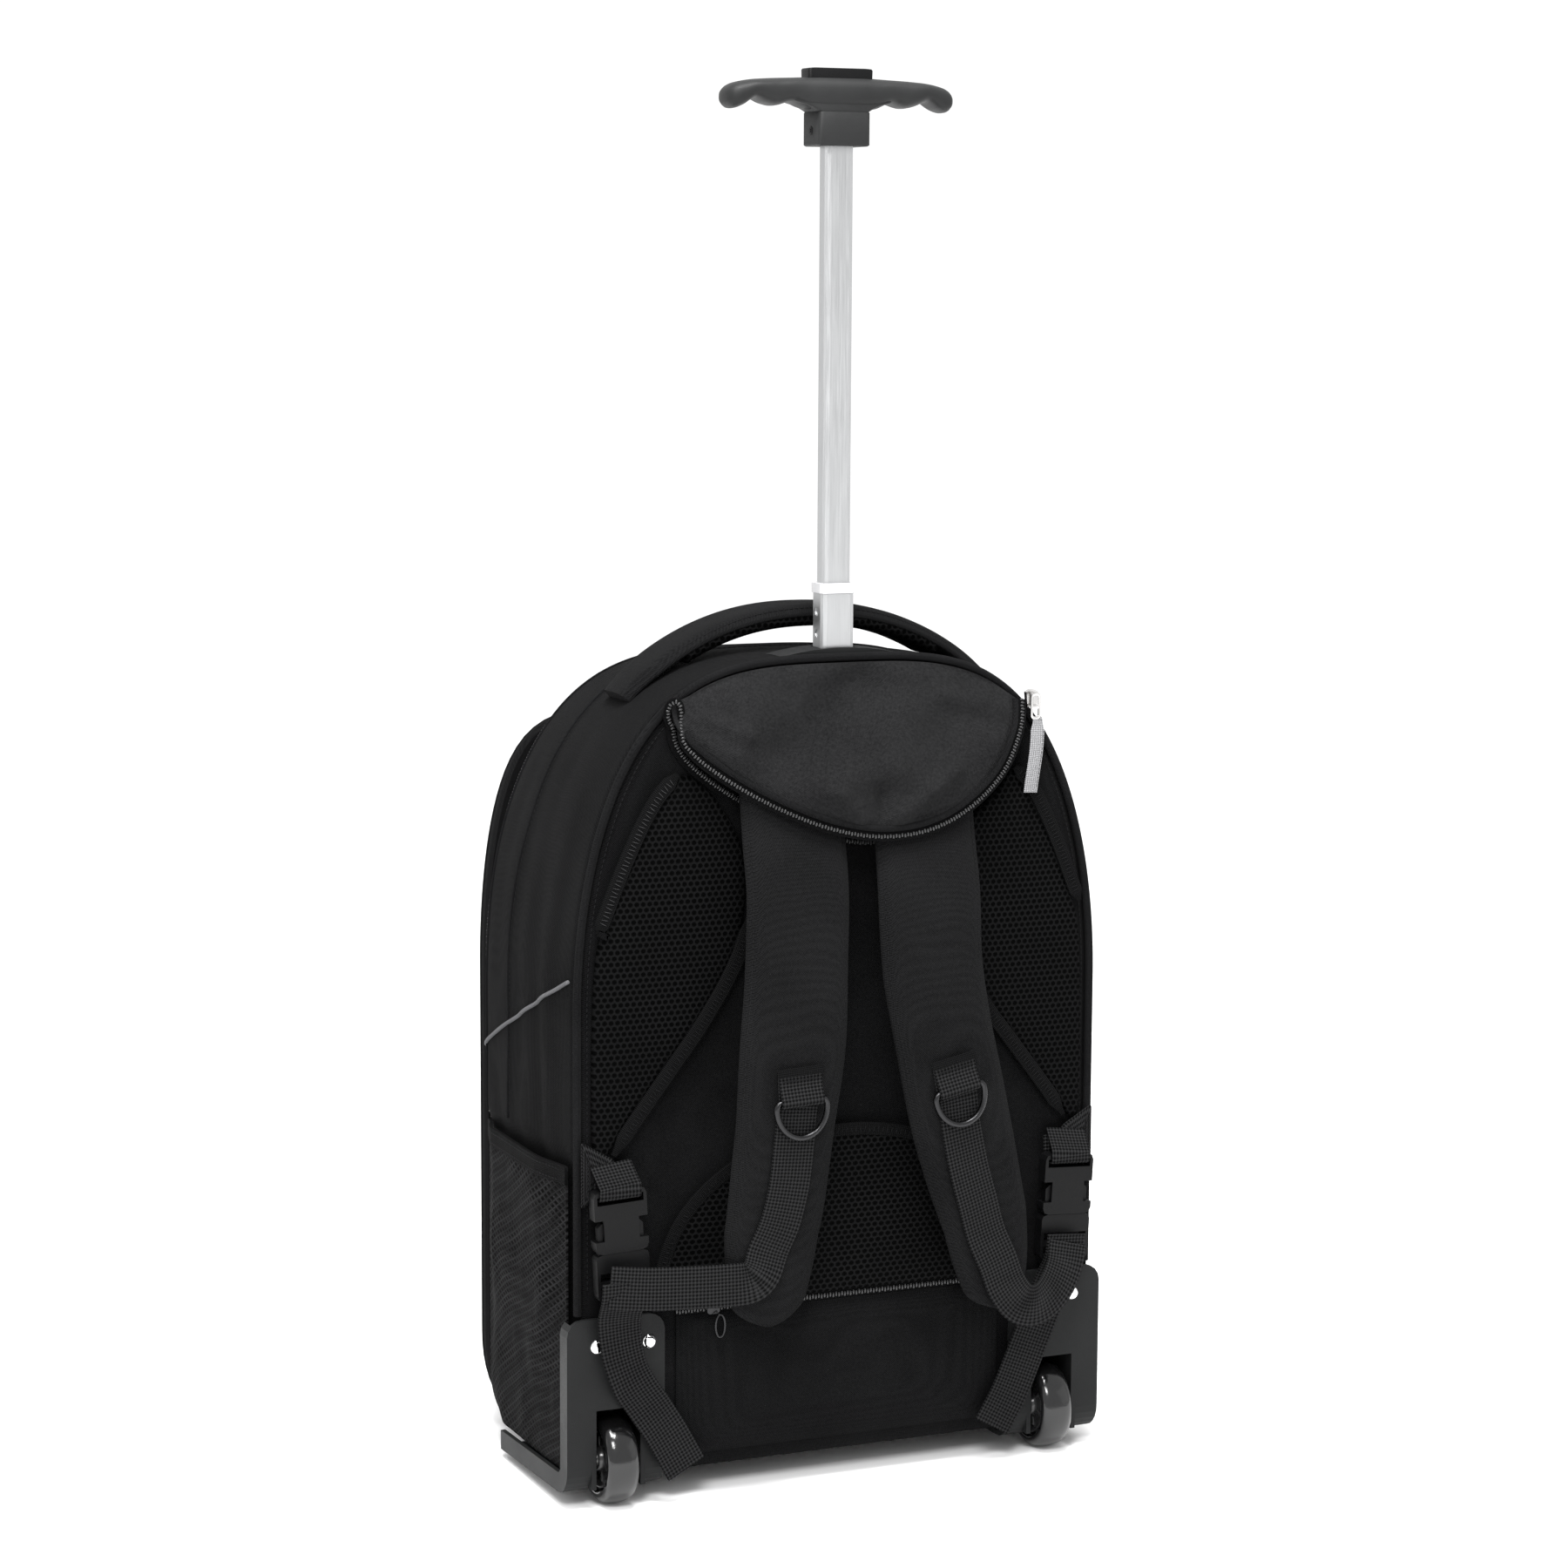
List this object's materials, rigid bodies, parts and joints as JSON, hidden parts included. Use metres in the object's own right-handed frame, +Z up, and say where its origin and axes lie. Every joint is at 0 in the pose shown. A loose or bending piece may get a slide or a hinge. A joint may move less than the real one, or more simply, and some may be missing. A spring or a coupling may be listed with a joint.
{
  "type": "wheeled backpack",
  "caption": "Soft arched backpack with two wheels in corner guards, a telescopic pull handle, padded straps under a zip-off cover and mesh side pockets",
  "frame": {"origin": "on the floor, under the middle of the whole object's box", "axes": "+Z up; the harness side with the straps, guards and wheels faces -Y; +X to the right of someone looking at the straps"},
  "size_m": [0.3622, 0.255, 0.849],
  "materials": {
    "fabric": "matte",
    "zip": "satin",
    "piping": "matte",
    "mesh": "matte",
    "nickel": "polished",
    "tab": "matte",
    "padding": "matte",
    "guard": "matte",
    "tube": "satin",
    "bushing": "matte",
    "grip": "matte",
    "reflective": "satin",
    "webbing": "matte",
    "ring": "satin",
    "buckle": "satin",
    "chrome": "polished",
    "tyre": "gloss",
    "hub": "gloss"
  },
  "bodies": {
    "bag": {"bag_shell": "fabric", "front_pocket": "fabric", "main_zip": "zip", "back_panel": "fabric", "lower_pocket": "fabric", "lower_zip": "zip", "piping_back": "piping", "lumbar_pad": "mesh", "strap_flap": "fabric", "flap_zip": "zip", "rim_zip": "zip", "zip_slider": "nickel", "zip_puller": "nickel", "zip_tab": "tab", "grab_handle": "padding", "handle_tray": "guard", "outer_tube": "tube", "air_mesh_left": "mesh", "reflective_cord_left": "reflective", "shoulder_strap_left": "padding", "strap_webbing_left": "webbing", "d_loop_left": "webbing", "buckle_socket_left": "buckle", "buckle_plug_left": "buckle", "anchor_tab_left": "webbing", "side_pocket_left": "mesh", "pocket_binding_left": "webbing", "corner_guard_left": "guard", "rivet_left_outer": "chrome", "rivet_left_inner": "chrome", "axle_left": "nickel", "foot_left": "guard", "air_mesh_right": "mesh", "reflective_cord_right": "reflective", "shoulder_strap_right": "padding", "strap_webbing_right": "webbing", "d_loop_right": "webbing", "buckle_socket_right": "buckle", "buckle_plug_right": "buckle", "anchor_tab_right": "webbing", "side_pocket_right": "mesh", "pocket_binding_right": "webbing", "corner_guard_right": "guard", "rivet_right_outer": "chrome", "rivet_right_inner": "chrome", "axle_right": "nickel", "foot_right": "guard"},
    "wheel_left": {"tyre_left": "tyre", "hub_left": "hub"},
    "wheel_right": {"tyre_right": "tyre", "hub_right": "hub"},
    "tube": {"middle_tube": "tube", "tube_bushing": "bushing"},
    "grip": {"inner_tube": "tube", "t_handle": "grip", "handle_screw": "nickel"},
    "button": {"release_button": "grip"},
    "ring_left": {"d_ring_left": "ring"},
    "ring_right": {"d_ring_right": "ring"}
  },
  "joints": [
    {"name": "wheel_left_spin", "type": "hinge", "parent": "bag", "child": "wheel_left", "pos_m": [-0.1445, -0.06547, 0.027], "axis": [1, 0, 0], "continuous": true},
    {"name": "wheel_right_spin", "type": "hinge", "parent": "bag", "child": "wheel_right", "pos_m": [0.1445, -0.06547, 0.027], "axis": [1, 0, 0], "continuous": true},
    {"name": "tube_slide", "type": "slide", "parent": "bag", "child": "tube", "axis": [0, 0, 1], "range_m": [-0.03, 0.18]},
    {"name": "handle_slide", "type": "slide", "parent": "tube", "child": "grip", "axis": [0, 0, 1], "range_m": [-0.255, 0]},
    {"name": "button_press", "type": "slide", "parent": "grip", "child": "button", "axis": [0, 0, -1], "range_m": [0, 0.004], "stiffness_N_per_m": 800, "springref_m": -0.001},
    {"name": "d_ring_left_swing", "type": "hinge", "parent": "bag", "child": "ring_left", "pos_m": [-0.04622, -0.1238, 0.24846], "axis": [0.9986, 0, 0.0523], "range_deg": [-150, 0]},
    {"name": "d_ring_right_swing", "type": "hinge", "parent": "bag", "child": "ring_right", "pos_m": [0.05626, -0.12384, 0.24745], "axis": [0.9781, 0, 0.2079], "range_deg": [-150, 0]}
  ]
}
